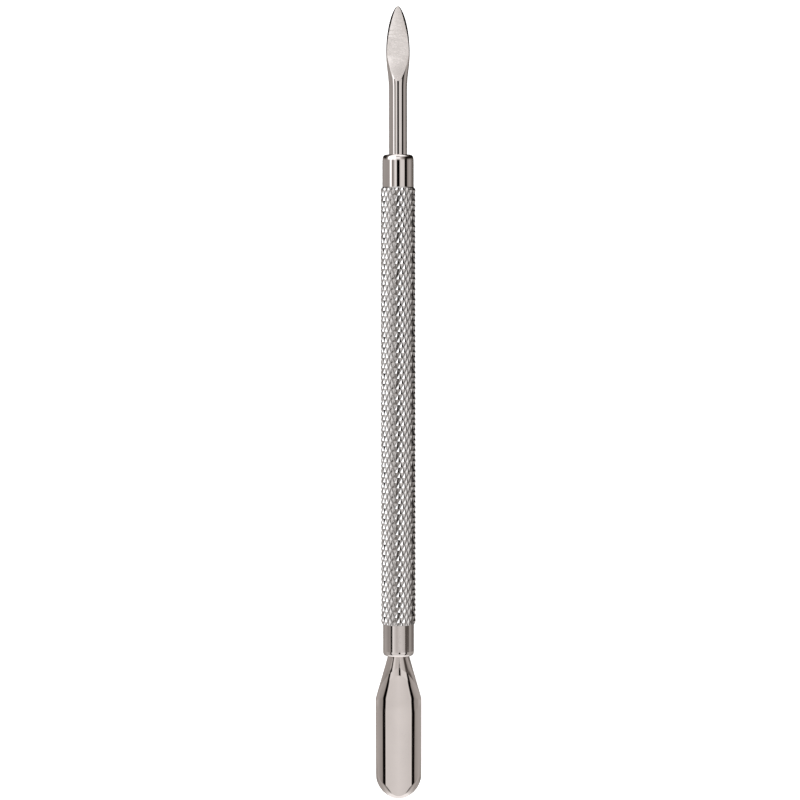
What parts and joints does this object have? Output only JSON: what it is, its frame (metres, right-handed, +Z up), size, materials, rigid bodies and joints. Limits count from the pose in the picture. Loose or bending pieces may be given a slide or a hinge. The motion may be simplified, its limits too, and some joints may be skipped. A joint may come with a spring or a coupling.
{
  "type": "cuticle pusher",
  "caption": "Double-ended metal cuticle pusher with a knurled round handle, a leaf-shaped spear at one end and a spoon-shaped pusher at the other.",
  "frame": {"origin": "on the table under the middle of the knurled handle, which is also the middle of the tool's length", "axes": "+Y along the handle towards the spear's point, +Z up from the table through the ground face of the spear and the rounded back of the spoon, +X to the right of someone who sees the spear pointing away and the back of the spoon"},
  "size_m": [0.008, 0.1372, 0.006],
  "materials": {
    "knurled_steel": "gloss",
    "polished_steel": "polished",
    "spear_steel": "polished",
    "spoon_steel": "polished"
  },
  "bodies": {
    "root": {"grip_tube": "knurled_steel", "spear_collar": "polished_steel", "spoon_collar": "polished_steel", "spear_tip": "spear_steel", "spoon_tip": "spoon_steel"}
  },
  "joints": []
}
